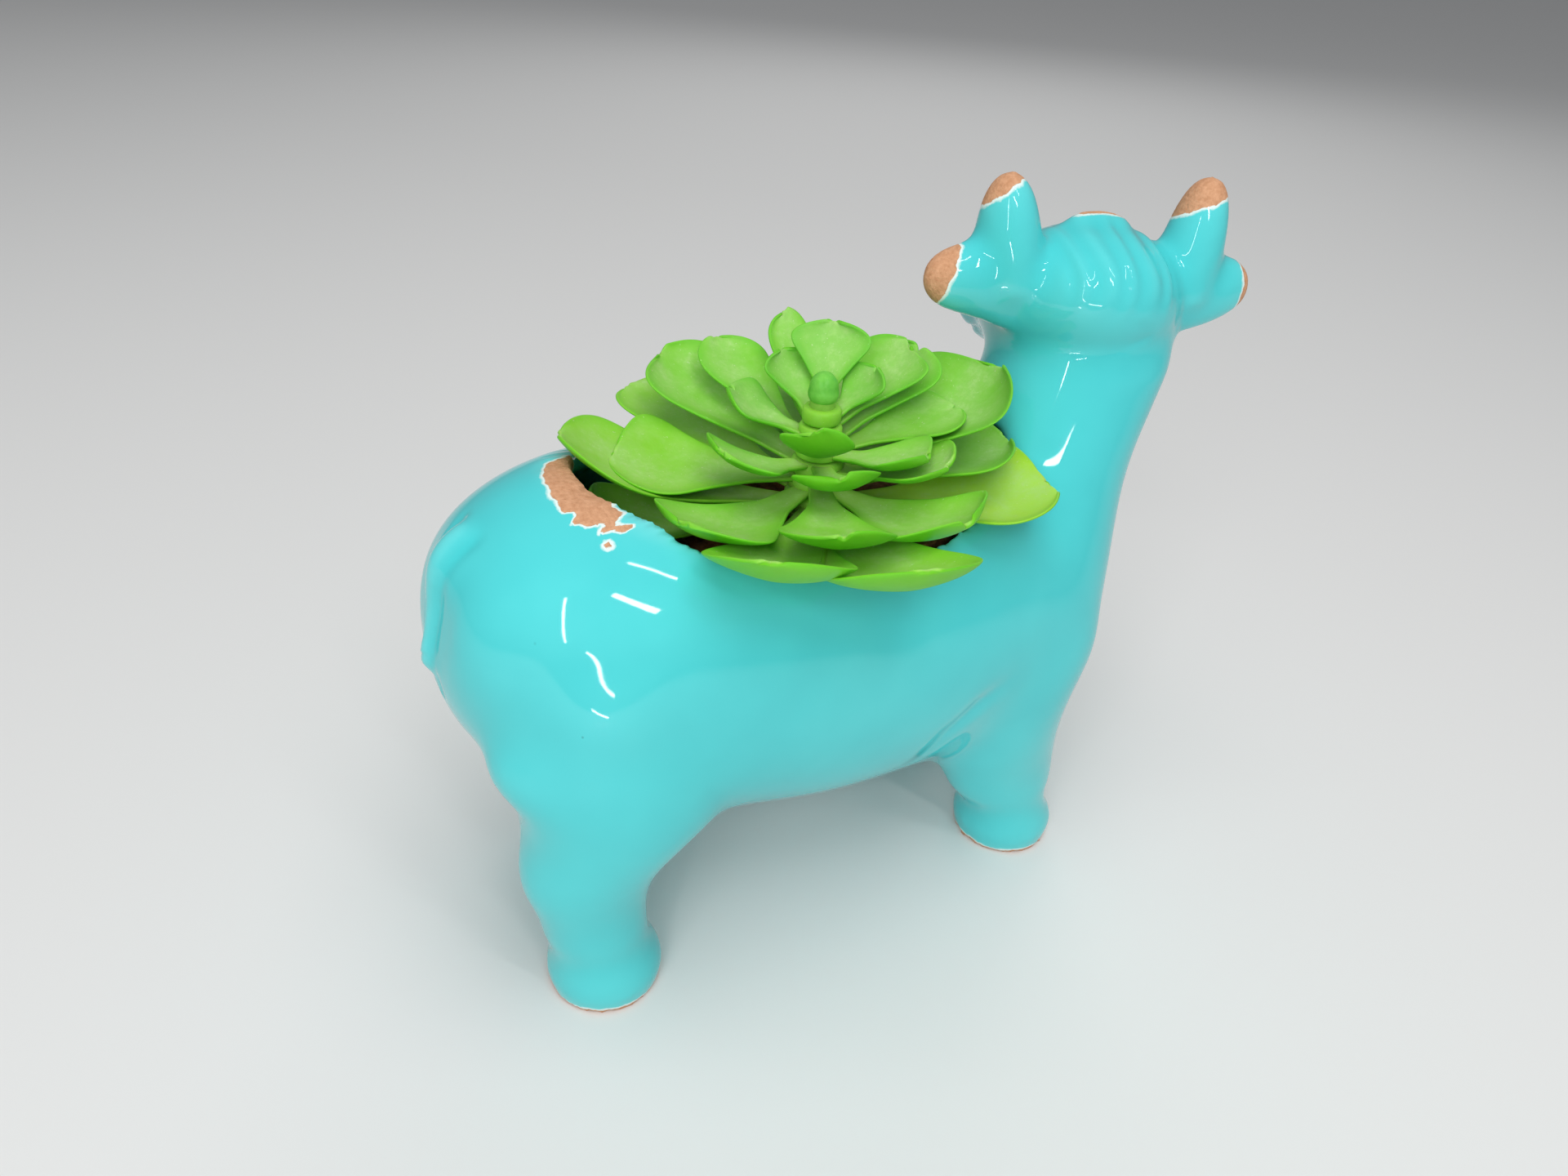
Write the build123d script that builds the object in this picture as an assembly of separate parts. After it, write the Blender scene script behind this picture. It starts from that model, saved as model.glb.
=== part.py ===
from build123d import *
from math import cos, pi, radians, sin
import os

# A glazed earthenware planter in the shape of a small bull with its head turned,
# and an artificial succulent whose stem is pushed into a foam block in its open back.
# Millimetres and degrees. The animal faces +X, its left side is +Y and it stands on
# Z = 0. Lengthwise places are first counted from the middle of the trunk.

# Trunk
BARREL_LENGTH = 150.0
BARREL_WIDTH = 79.0
BARREL_HEIGHT = 81.5
BELLY_HEIGHT = 24.5
RUMP_LIFT = 12.2
CHEST_DROP = 4.0
BARREL_FULLNESS = 2.5
WALL = 5.0

# Mouth in the back
MOUTH_LENGTH = 95.0
MOUTH_WIDTH = 55.0
MOUTH_SHIFT = 0.0
MOUTH_FLARE = 3.0

# Legs
STANCE_WIDTH = 43.0
HIND_SET_IN = 24.5
FRONT_SET_IN = 19.0
LEFT_HIND_STEP = 13.0
HOOF_DIAMETER = 24.5
HOOF_HEIGHT = 11.0
PASTERN_DIAMETER = 21.0
HOCK_DEPTH = 28.5
THIGH_DEPTH = 52.0
THIGH_WIDTH = 38.0
THIGH_LEAN = 5.5
HOCK_SHIFT = -2.5
HIND_SHANK_DEPTH = 23.0
HIND_SHANK_SHIFT = -2.5
KNEE_DEPTH = 33.0
SHOULDER_DEPTH = 40.0
SHOULDER_WIDTH = 34.0
SHOULDER_LEAN = -8.0
KNEE_SHIFT = -8.3
FRONT_SHANK_DEPTH = 30.5
FRONT_SHANK_SHIFT = -4.7
LEG_TUCK = 7.0

# Neck and head
NECK_WIDTH = 42.0
NECK_DEPTH = 42.0
NECK_SET_BACK = 23.0
HEAD_TURN = 76.0
HEAD_PITCH = 18.0
HEAD_ROLL = 3.5
HEAD_HEIGHT = 126.0
HEAD_REACH = 74.5
HEAD_OFFSET = 5.0
HEAD_WIDTH = 42.0
HEAD_DEPTH = 32.0
MUZZLE_LENGTH = 43.0
MUZZLE_WIDTH = 28.0
MUZZLE_DEPTH = 22.0
MUZZLE_DROP = 2.5
HORN_LENGTH = 20.0
HORN_DIAMETER = 15.0
HORN_SPREAD = 46.0
HORN_BEHIND = 4.0
HORN_RAKE = 5.0
HORN_SPLAY = 4.0
HORN_BLUNTNESS = 2.4
EAR_LENGTH = 20.6
EAR_HEIGHT = 18.0
EAR_THICKNESS = 12.0
EAR_LIFT = 5.0
EAR_BEHIND = 3.0
EAR_RAKE = 3.0
EAR_BLUNTNESS = 2.6
TUFT_WIDTH = 24.0
TUFT_HEIGHT = 2.0
TUFT_DEPTH = 12.0

# Tail
TAIL_START = 36.0
TAIL_WIDTH = 9.0
TAIL_THICKNESS = 5.0
TAIL_STAND = 0.8

# Foam block
FOAM_LENGTH = 84.0
FOAM_WIDTH = 50.0
FOAM_DROP = 15.5
FOAM_CLEARANCE = 0.3

# Stem
STEM_AHEAD = 5.0
STEM_ASIDE = -1.5
STEM_DIAMETER = 5.0
STEM_DEPTH = 30.0
STEM_CLEARANCE = 0.05
WIRE_DIAMETER = 1.6
WIRE_BARE_END = 6.0
FLANGE_DIAMETER = 13.0
FLANGE_HEIGHT = 1.2

# Leaves and bud
COLLAR_HEIGHT = 3.6
COLLAR_DIAMETER = 13.0
COLLAR_STEP = 1.0
LOWER_SEAT = 0.9
UPPER_SEAT = 2.5
PETIOLE_WIDTH = 4.2
PETIOLE_THICKNESS = 1.4
LEAF_THICKNESS = 1.6
LEAF_CUP = 0.13
LEAF_CURL = 2.8
LEAF_ROOT = 1.2
BUD_DIAMETER = 7.0
BUD_HEIGHT = 7.0
BUD_SOCKET = 2.0

# Each whorl's leaves: seat on the collar, turn, length from the stem's axis,
# slope at the root, slope at the end, and width
WHORLS = (
    (
        (LOWER_SEAT, 175, 53, 1, 58, 26),
        (LOWER_SEAT, 231, 57.5, 9, 48, 25),
        (LOWER_SEAT, 328, 47.5, 5.5, 27, 27),
        (LOWER_SEAT, 138, 55, 13.5, 16, 25),
        (LOWER_SEAT, 48, 43, 3.5, 23, 22),
        (LOWER_SEAT, 90, 50, 3, 24, 26),
        (UPPER_SEAT, 260, 53, 4, 58, 25),
        (UPPER_SEAT, 118, 50, 18, 6, 19),
        (UPPER_SEAT, 2, 34, 6, 21, 24),
    ),
    (
        (LOWER_SEAT, 211, 40, 3.5, 50, 24),
        (LOWER_SEAT, 285, 38.5, 2.5, 44, 24),
        (LOWER_SEAT, 348, 42, 10.5, 27, 27),
        (LOWER_SEAT, 66, 44, 10, 31, 25),
        (UPPER_SEAT, 245, 44, 5, 56, 24),
        (UPPER_SEAT, 161, 41, 6, 28, 26),
    ),
    (
        (LOWER_SEAT, 116, 44, 13, 39, 27),
        (LOWER_SEAT, 352, 41.5, 15.5, 70, 28),
        (LOWER_SEAT, 307, 27.5, 18, 45, 20),
        (LOWER_SEAT, 55, 38, 16, 38, 24),
        (UPPER_SEAT, 249, 24.5, 9, 67, 19),
        (UPPER_SEAT, 191, 25, 12, 60, 19),
    ),
    (
        (LOWER_SEAT, 100, 38, 15.5, 39, 22),
        (LOWER_SEAT, 350, 30.5, 16, 26, 21),
        (LOWER_SEAT, 300, 23, 18, 40, 18),
        (UPPER_SEAT, 234, 25.5, 22, 80, 18),
        (UPPER_SEAT, 12, 33, 22, 51, 23),
    ),
    (
        (LOWER_SEAT, 76, 33.5, 24, 53, 17),
        (LOWER_SEAT, 142, 20, 21.5, 64, 18),
        (UPPER_SEAT, 13, 27.5, 24, 51, 20),
    ),
    (
        (LOWER_SEAT, 102, 18, 32.5, 72, 17),
        (LOWER_SEAT, 0, 16, 34, 70, 14),
        (UPPER_SEAT, 54, 20.5, 43, 73, 16),
    ),
)

RING_POINTS = 12
LEAF_SECTIONS = 12


def ease(rows, at):
    """Smooth values at a distance, from rows that each hold a distance and its values."""
    k = 0
    while k < len(rows) - 2 and at > rows[k + 1][0]:
        k += 1
    low, high = rows[k], rows[k + 1]
    before, after = rows[max(k - 1, 0)], rows[min(k + 2, len(rows) - 1)]
    span = high[0] - low[0]
    t = (at - low[0]) / span
    values = []
    for i in range(1, len(low)):
        leave = span * (high[i] - before[i]) / (high[0] - before[0])
        arrive = span * (after[i] - low[i]) / (after[0] - low[0])
        step = (high[i] - low[i]) * t * t * (3 - 2 * t)
        values.append(low[i] + step + leave * t * (1 - t) ** 2 - arrive * t * t * (1 - t))
    return values


def spread(start, end, count):
    """Evenly spaced distances from start to end."""
    return [start + (end - start) * i / (count - 1) for i in range(count)]


def ring(plane, half_width, half_height):
    """An oval section on a plane, started at the same place on every plane."""
    turns = [2 * pi * i / RING_POINTS for i in range(RING_POINTS)]
    points = [(half_width * cos(a), half_height * sin(a)) for a in turns]
    return plane * make_face(Spline(*points, periodic=True))


def level(x, y, z):
    """A level plane at a point, with its first direction along the body."""
    return Plane(origin=(x, y, z), x_dir=(1, 0, 0), z_dir=(0, 0, 1))


def back_line(turn, out):
    """Height and reach of the trunk's upper outline, by its turn up from the rump."""
    power = 2 / BARREL_FULLNESS
    share = -cos(turn) ** power if cos(turn) > 0 else (-cos(turn)) ** power
    swell = max(sin(turn), 0) ** power
    rise = -share * (RUMP_LIFT if share < 0 else CHEST_DROP)
    middle = BELLY_HEIGHT + BARREL_HEIGHT / 2 + rise
    return share * (BARREL_LENGTH / 2 + out), middle, swell


def barrel(inset):
    """The trunk, a swelling loft from rump to chest, or its hollow when inset."""
    rings = []
    for turn in spread(radians(12), radians(168), 13):
        x, middle, swell = back_line(turn, -inset)
        plane = Plane(origin=(x, 0, middle), x_dir=(0, 1, 0), z_dir=(1, 0, 0))
        half_width, half_height = BARREL_WIDTH / 2 - inset, BARREL_HEIGHT / 2 - inset
        rings.append(ring(plane, swell * half_width, swell * half_height))
    ends = []
    for turn in (0, pi):
        x, middle, swell = back_line(turn, -inset)
        ends.append(Vertex(x, 0, middle))
    return loft([ends[0], *rings, ends[1]])


def leg(x, side, joint, top, inset):
    """A leg from hoof to thigh or shoulder, flaring into the trunk."""
    joint_depth, joint_shift, shank_depth, shank_shift = joint
    top_depth, top_width, lean = top
    y = side * STANCE_WIDTH / 2
    hoof = HOOF_DIAMETER / 2
    pastern = PASTERN_DIAMETER / 2
    rows = (
        (0.0, 0.0, 0.0, 0.93 * hoof, 0.93 * hoof),
        (0.25 * HOOF_HEIGHT, 0.0, 0.0, hoof, hoof),
        (0.6 * HOOF_HEIGHT, 0.07 * shank_shift, 0.0, 0.96 * hoof, 0.96 * hoof),
        (HOOF_HEIGHT, 0.4 * shank_shift, 0.0, pastern, pastern),
        (0.85 * BELLY_HEIGHT, shank_shift, 0.0, shank_depth / 2, 1.05 * pastern),
        (1.35 * BELLY_HEIGHT, joint_shift, 0.0, 0.52 * joint_depth, 1.25 * pastern),
        (BELLY_HEIGHT + 0.28 * BARREL_HEIGHT, lean, 0.07 * LEG_TUCK, 0.4 * top_depth, 0.46 * top_width),
        (BELLY_HEIGHT + 0.45 * BARREL_HEIGHT, lean, 0.43 * LEG_TUCK, 0.5 * top_depth, 0.5 * top_width),
        (BELLY_HEIGHT + 0.62 * BARREL_HEIGHT, lean, LEG_TUCK, 0.38 * top_depth, 0.36 * top_width),
    )
    rings = []
    for height in spread(inset, rows[-1][0], 20):
        ahead, inward, depth, width = ease(rows, height)
        rings.append(ring(level(x + ahead, y - side * inward, height), depth - inset, width - inset))
    return loft(rings)


def legs(inset):
    """The four legs, with the left hind leg a step ahead of the right one."""
    half = BARREL_LENGTH / 2
    hock = (HOCK_DEPTH, HOCK_SHIFT, HIND_SHANK_DEPTH, HIND_SHANK_SHIFT)
    thigh = (THIGH_DEPTH, THIGH_WIDTH, THIGH_LEAN)
    knee = (KNEE_DEPTH, KNEE_SHIFT, FRONT_SHANK_DEPTH, FRONT_SHANK_SHIFT)
    shoulder = (SHOULDER_DEPTH, SHOULDER_WIDTH, SHOULDER_LEAN)
    limbs = []
    for side in (-1, 1):
        step = LEFT_HIND_STEP if side > 0 else 0.0
        limbs.append(leg(-half + HIND_SET_IN + step, side, hock, thigh, inset))
        limbs.append(leg(half - FRONT_SET_IN, side, knee, shoulder, inset))
    return limbs


def neck(inset):
    """The neck, rising from the shoulders and narrowing into the head."""
    root = BELLY_HEIGHT + 0.4 * BARREL_HEIGHT
    rise = HEAD_HEIGHT - root
    back = HEAD_REACH - NECK_SET_BACK
    shares = (
        (0.0, 0.0, 0.0, 0.66, 0.7),
        (0.3, 0.25, 0.0, 0.6, 0.64),
        (0.6, 0.6, 0.2, 0.5, 0.5),
        (0.85, 1.05, 0.7, 0.46, 0.42),
        (1.0, 1.2, 1.0, 0.47, 0.36),
    )
    rows = []
    for up, ahead, aside, deep, wide in shares:
        middle = (back + ahead * NECK_SET_BACK, aside * HEAD_OFFSET)
        rows.append((root + up * rise, *middle, deep * NECK_DEPTH, wide * NECK_WIDTH))
    rings = []
    for height in spread(root, HEAD_HEIGHT, 9):
        x, y, depth, width = ease(rows, height)
        rings.append(ring(level(x, y, height), depth - inset, width - inset))
    return loft(rings)


def head_place(ahead, left, up):
    """A point in the head's own directions: ahead along the muzzle, left and up."""
    turn, pitch, roll = radians(HEAD_TURN), radians(HEAD_PITCH), radians(HEAD_ROLL)
    across = left * cos(roll) - up * sin(roll)
    lift = up * cos(roll) + left * sin(roll)
    along = ahead * cos(pitch) + lift * sin(pitch)
    return Vector(
        HEAD_REACH + along * cos(turn) - across * sin(turn),
        HEAD_OFFSET + along * sin(turn) + across * cos(turn),
        HEAD_HEIGHT - ahead * sin(pitch) + lift * cos(pitch),
    )


def head(inset):
    """The head, from the round nape to the blunt muzzle."""
    wide, deep = HEAD_WIDTH / 2, HEAD_DEPTH / 2
    nose_wide, nose_deep = MUZZLE_WIDTH / 2, MUZZLE_DEPTH / 2
    nape = 0.95 * wide
    rows = (
        (-0.97 * nape, 0.0, 0.25 * wide, 0.25 * deep),
        (-0.8 * nape, 0.0, 0.6 * wide, 0.6 * deep),
        (-0.4 * nape, 0.0, 0.92 * wide, 0.92 * deep),
        (0.0, 0.0, wide, deep),
        (0.33 * MUZZLE_LENGTH, -0.2 * MUZZLE_DROP, 0.9 * wide, 0.92 * deep),
        (0.66 * MUZZLE_LENGTH, -0.8 * MUZZLE_DROP, 0.97 * nose_wide, nose_deep),
        (0.85 * MUZZLE_LENGTH, -MUZZLE_DROP, nose_wide, nose_deep),
        (0.95 * MUZZLE_LENGTH, -MUZZLE_DROP, 0.88 * nose_wide, 0.88 * nose_deep),
        (MUZZLE_LENGTH, -MUZZLE_DROP, 0.62 * nose_wide, 0.62 * nose_deep),
    )
    facing = head_place(1, 0, 0) - head_place(0, 0, 0)
    sideways = head_place(0, 1, 0) - head_place(0, 0, 0)
    shrink = 1 - inset / wide
    rings = []
    for ahead in spread(rows[0][0], rows[-1][0], 13):
        up, half_width, half_height = ease(rows, ahead)
        plane = Plane(origin=head_place(shrink * ahead, 0, up), x_dir=sideways, z_dir=facing)
        rings.append(ring(plane, shrink * half_width, shrink * half_height))
    return loft([Vertex(*head_place(-shrink * nape, 0, 0)), *rings])


def spike(root, tip, half_wide, half_thick, wide_way, bluntness):
    """A blunt tapering lobe from a root point to a tip, such as a horn or an ear."""
    axis = tip - root
    rings = []
    for share in spread(0.0, 0.97, 8):
        size = (1 - share**bluntness) ** (1 / bluntness)
        plane = Plane(origin=root + axis * share, x_dir=wide_way, z_dir=axis)
        rings.append(ring(plane, half_wide * size, half_thick * size))
    return loft([*rings, Vertex(*tip)])


def head_gear():
    """Horns, ears and the tuft of hair between the horns."""
    pieces = []
    ahead_way = head_place(1, 0, 0) - head_place(0, 0, 0)
    up_way = head_place(0, 0, 1) - head_place(0, 0, 0)
    sideways = head_place(0, 1, 0) - head_place(0, 0, 0)
    horn, ear_high, ear_thick = HORN_DIAMETER / 2, EAR_HEIGHT / 2, EAR_THICKNESS / 2
    for side in (-1, 1):
        apart = HORN_SPREAD / 2
        root = head_place(-HORN_BEHIND, side * (apart - 0.75 * HORN_SPLAY), 0)
        tip_aside = side * (apart + 0.25 * HORN_SPLAY)
        tip = head_place(-HORN_BEHIND - HORN_RAKE, tip_aside, HORN_SPLAY + HORN_LENGTH)
        pieces.append(spike(root, tip, horn, horn, ahead_way, HORN_BLUNTNESS))
        root = head_place(-EAR_BEHIND, side * 0.3 * HEAD_WIDTH, 0)
        tip_aside = side * (0.4 * HEAD_WIDTH + EAR_LENGTH)
        tip = head_place(-EAR_BEHIND - EAR_RAKE, tip_aside, EAR_LIFT)
        pieces.append(spike(root, tip, ear_high, ear_thick, up_way, EAR_BLUNTNESS))
    root = head_place(-HORN_BEHIND, 0, 0)
    tip = head_place(-HORN_BEHIND, 0, HEAD_DEPTH / 2 + TUFT_HEIGHT)
    pieces.append(spike(root, tip, TUFT_WIDTH / 2, TUFT_DEPTH / 2, sideways, EAR_BLUNTNESS))
    return pieces


def tail():
    """The tail, a ridge down the rump that ends in a point standing a little clear."""
    shares = spread(0.0, 1.0, 9)
    places = []
    for share in shares:
        out = TAIL_STAND * (2 * share - 1)
        x, middle, swell = back_line(radians(TAIL_START * (1 - share)), out)
        places.append(Vector(x, 0, middle + swell * (BARREL_HEIGHT / 2 + out)))
    rings = []
    for share, before, here in zip(shares[1:], places, places[1:]):
        size = sin(pi * (0.1 + 0.82 * share))
        plane = Plane(origin=here, x_dir=(0, 1, 0), z_dir=here - before)
        rings.append(ring(plane, size * TAIL_WIDTH / 2, size * TAIL_THICKNESS / 2))
    return loft(rings)


def mouth():
    """The cut that opens the back, flaring a little towards the top."""
    middle = BELLY_HEIGHT + BARREL_HEIGHT / 2
    top = BELLY_HEIGHT + BARREL_HEIGHT + RUMP_LIFT
    rings = []
    for height, flare in ((middle, 0.0), (top, MOUTH_FLARE)):
        plane = level(MOUTH_SHIFT, 0, height)
        rings.append(ring(plane, MOUTH_LENGTH / 2 + flare, MOUTH_WIDTH / 2 + flare))
    return loft(rings)


def trunk_and_limbs(inset):
    """The trunk with its legs, neck and head, or the hollow inside them when inset."""
    trunk = barrel(inset)
    for limb in legs(inset):
        trunk += limb
    top = head(inset)
    if inset == 0:
        for gear in head_gear():
            top += gear
    return trunk + (neck(inset) + top)


def build_planter():
    """The glazed shell: trunk, legs, neck, head, horns, ears and tail in one casting."""
    return trunk_and_limbs(0) + tail() - (trunk_and_limbs(WALL) + mouth())


def foam_top():
    """Height of the top of the foam block."""
    return BELLY_HEIGHT + BARREL_HEIGHT - FOAM_DROP


def stem_axis(height):
    """A point on the axis of the stem."""
    return Pos(STEM_AHEAD, STEM_ASIDE, height)


def rod(diameter, bottom, top):
    """A round bar on the axis of the stem."""
    return stem_axis((bottom + top) / 2) * Cylinder(diameter / 2, top - bottom)


def build_foam():
    """The foam block: an oval block that stands on the floor of the hollow."""
    plane = level(MOUTH_SHIFT, 0, foam_top())
    block = extrude(plane * Ellipse(FOAM_LENGTH / 2, FOAM_WIDTH / 2), -BARREL_HEIGHT)
    block &= barrel(WALL + FOAM_CLEARANCE)
    hole = STEM_DIAMETER + 2 * STEM_CLEARANCE
    return block - rod(hole, foam_top() - STEM_DEPTH - WIRE_BARE_END - 1, foam_top() + 1)


def collar_bottom(number):
    """Height of the underside of a whorl's collar, counted from the lowest whorl."""
    return foam_top() + FLANGE_HEIGHT + number * COLLAR_HEIGHT


def build_sleeve():
    """The moulded stem: a sleeve with a flange that stops on the foam."""
    bottom, top = foam_top() - STEM_DEPTH, collar_bottom(len(WHORLS)) + BUD_SOCKET
    sleeve = rod(STEM_DIAMETER, bottom, top)
    sleeve += rod(FLANGE_DIAMETER, foam_top(), foam_top() + FLANGE_HEIGHT)
    return sleeve - rod(WIRE_DIAMETER, bottom - 1, top - BUD_SOCKET)


def build_wire():
    """The steel wire in the stem, bare at its lower end."""
    bottom = foam_top() - STEM_DEPTH - WIRE_BARE_END
    return rod(WIRE_DIAMETER, bottom, collar_bottom(len(WHORLS)))


def leaf(root, length, first, last, width):
    """A spoon-shaped leaf that points along X from the collar, its slope rising to its end."""
    rows = (
        (0.0, PETIOLE_WIDTH, PETIOLE_THICKNESS),
        (0.25, max(PETIOLE_WIDTH, 0.28 * width), PETIOLE_THICKNESS),
        (0.5, 0.62 * width, LEAF_THICKNESS),
        (0.7, 0.92 * width, LEAF_THICKNESS),
        (0.82, width, 0.9 * LEAF_THICKNESS),
        (0.92, 0.86 * width, 0.8 * LEAF_THICKNESS),
        (1.0, 0.36 * width, 0.6 * LEAF_THICKNESS),
    )
    step = 1 / (LEAF_SECTIONS - 1)
    reach, rise = root, 0.0
    sections = []
    for share in spread(0.0, 1.0, LEAF_SECTIONS):
        breadth, thickness = ease(rows, share)
        slope = radians(first + (last - first) * share**LEAF_CURL)
        plane = Plane(origin=(reach, 0, rise), x_dir=(0, 1, 0), z_dir=(cos(slope), 0, sin(slope)))
        edge, rim = breadth / 2, LEAF_CUP * breadth
        under = ThreePointArc((-edge, rim), (0, -thickness / 2), (edge, rim))
        over = ThreePointArc((edge, rim), (0, thickness / 2), (-edge, rim))
        sections.append(plane * make_face([under, over]))
        onward = radians(first + (last - first) * (share + step / 2) ** LEAF_CURL)
        reach += step * (length - root) * cos(onward)
        rise += step * (length - root) * sin(onward)
    return loft(sections)


def build_whorl(number):
    """One moulded whorl: a collar on the stem with its ring of leaves."""
    bottom = collar_bottom(number)
    collar = COLLAR_DIAMETER - number * COLLAR_STEP
    whorl = rod(collar, bottom, bottom + COLLAR_HEIGHT)
    for seat, turn, length, first, last, width in WHORLS[number]:
        blade = leaf(collar / 2 - LEAF_ROOT, length, first, last, width)
        whorl += stem_axis(bottom + seat) * Rot(0, 0, turn) * blade
    return whorl - rod(STEM_DIAMETER, bottom, bottom + COLLAR_HEIGHT)


def build_bud():
    """The round bud that caps the stem."""
    bottom = collar_bottom(len(WHORLS))
    size = BUD_DIAMETER / 2
    swell = 0.45 * BUD_HEIGHT
    with BuildSketch(Plane.XZ) as half_outline:
        with BuildLine():
            Polyline((0, BUD_HEIGHT), (0, 0), (0.6 * size, 0))
            Spline(
                (0.6 * size, 0), (size, swell), (0, BUD_HEIGHT), tangents=((1, 0.6), (-1, 0))
            )
        make_face()
    bud = stem_axis(bottom) * revolve(half_outline.sketch, Axis.Z)
    return bud - rod(STEM_DIAMETER, bottom, bottom + BUD_SOCKET)


pieces = {
    "planter_body": build_planter(),
    "foam_block": build_foam(),
    "stem_sleeve": build_sleeve(),
    "stem_wire": build_wire(),
    "crown_bud": build_bud(),
}
for number in range(len(WHORLS)):
    pieces[f"leaf_whorl_{number + 1}"] = build_whorl(number)

boxes = [piece.bounding_box() for piece in pieces.values()]
middle_x = (min(box.min.X for box in boxes) + max(box.max.X for box in boxes)) / 2
middle_y = (min(box.min.Y for box in boxes) + max(box.max.Y for box in boxes)) / 2
home = Pos(-middle_x, -middle_y, 0)
os.makedirs("parts", exist_ok=True)
for name, piece in pieces.items():
    export_step(home * piece, f"parts/{name}.step")
print("moved to the middle of its box by", home.position)
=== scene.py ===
"""The looks of a glazed bull planter with an artificial succulent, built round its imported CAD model."""
import math

import bmesh
import bpy
import numpy as np
from mathutils import Matrix, Vector


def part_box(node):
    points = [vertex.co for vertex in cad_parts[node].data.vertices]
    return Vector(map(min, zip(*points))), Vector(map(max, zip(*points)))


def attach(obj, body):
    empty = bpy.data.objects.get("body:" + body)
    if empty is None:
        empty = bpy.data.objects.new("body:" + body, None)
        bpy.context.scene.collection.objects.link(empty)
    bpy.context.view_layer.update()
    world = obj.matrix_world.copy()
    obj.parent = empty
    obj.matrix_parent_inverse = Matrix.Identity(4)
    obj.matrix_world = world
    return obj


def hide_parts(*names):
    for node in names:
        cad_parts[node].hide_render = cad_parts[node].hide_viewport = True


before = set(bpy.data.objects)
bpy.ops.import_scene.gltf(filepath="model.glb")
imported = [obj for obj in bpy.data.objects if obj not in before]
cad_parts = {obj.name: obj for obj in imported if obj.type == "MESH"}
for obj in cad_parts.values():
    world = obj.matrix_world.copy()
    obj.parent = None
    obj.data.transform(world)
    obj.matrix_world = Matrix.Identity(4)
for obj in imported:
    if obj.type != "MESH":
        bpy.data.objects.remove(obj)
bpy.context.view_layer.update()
scene = bpy.context.scene
MM = 0.001

# Places are counted in millimetres from a point on the floor under the trunk, which the stem's axis fixes.
bud_low, bud_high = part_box("crown_bud")
STEM = np.array([5.5, -1.5])
bud_middle = np.array([(bud_low.x + bud_high.x) / 2, (bud_low.y + bud_high.y) / 2, 0.0])
HOME = bud_middle / MM - np.array([*STEM, 0.0])
FOAM_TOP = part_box("foam_block")[1].z / MM


def to_frame(points):
    """Points in millimetres from the planter's own place, in the row frame in metres."""
    return (np.asarray(points, float) + HOME) * MM


# Camera, light and floor
# The fitted camera: azimuth, elevation and roll in degrees, target and distance in millimetres
CAMERA_ANGLES = (-31.4, 31.9, 4.3)
CAMERA_TARGET = (0.0, -1.2, 72.1)
CAMERA_AWAY = 251
FOCAL_PIXELS, PHOTO_WIDTH, SENSOR_WIDTH = 1442, 1920, 36


def make_camera():
    azimuth, elevation, roll = (math.radians(angle) for angle in CAMERA_ANGLES)
    back = Vector(
        (
            math.sin(azimuth) * math.cos(elevation),
            -math.cos(azimuth) * math.cos(elevation),
            math.sin(elevation),
        )
    )
    right = Vector((0, 0, 1)).cross(back).normalized()
    up = back.cross(right)
    right, up = (
        right * math.cos(roll) + up * math.sin(roll),
        up * math.cos(roll) - right * math.sin(roll),
    )
    spot = Vector(to_frame(CAMERA_TARGET)) + back * CAMERA_AWAY * MM
    data = bpy.data.cameras.new("camera")
    data.lens = SENSOR_WIDTH * FOCAL_PIXELS / PHOTO_WIDTH
    data.sensor_width = SENSOR_WIDTH
    data.clip_start = 0.01
    cam = bpy.data.objects.new("camera", data)
    turn = Matrix((right, up, back)).transposed().to_4x4()
    cam.matrix_world = Matrix.Translation(spot) @ turn
    scene.collection.objects.link(cam)
    scene.camera = cam


def make_lamp(name, place, aim, size, power):
    """A broad soft lamp, which lights the object and isn't mirrored in the glaze."""
    data = bpy.data.lights.new(name, "AREA")
    data.shape = "RECTANGLE"
    data.size, data.size_y = size
    data.energy = power
    lamp = bpy.data.objects.new(name, data)
    lamp.location = place
    lamp.rotation_euler = (Vector(aim) - Vector(place)).to_track_quat("-Z", "Y").to_euler()
    lamp.visible_glossy = False
    scene.collection.objects.link(lamp)


def make_tube(name, spot, first, last, away, width):
    """A thin bright tube that a spot on the flank mirrors as a stroke between two directions."""
    spot = to_frame(spot)
    ends = [spot + away * np.array(way) / np.linalg.norm(way) for way in (first, last)]
    middle = (ends[0] + ends[1]) / 2
    run = ends[1] - ends[0]
    facing = (middle - spot) / np.linalg.norm(middle - spot)
    along = run - facing * (run @ facing)
    length = np.linalg.norm(along)
    along /= length
    turn = Matrix((along, np.cross(facing, along), facing)).transposed().to_4x4()
    data = bpy.data.lights.new(name, "AREA")
    data.shape = "RECTANGLE"
    data.size, data.size_y = length, width
    data.energy = TUBE_RADIANCE * math.pi * length * width
    lamp = bpy.data.objects.new(name, data)
    lamp.matrix_world = Matrix.Translation(middle) @ turn
    scene.collection.objects.link(lamp)


TUBE_RADIANCE = 24.0
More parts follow.
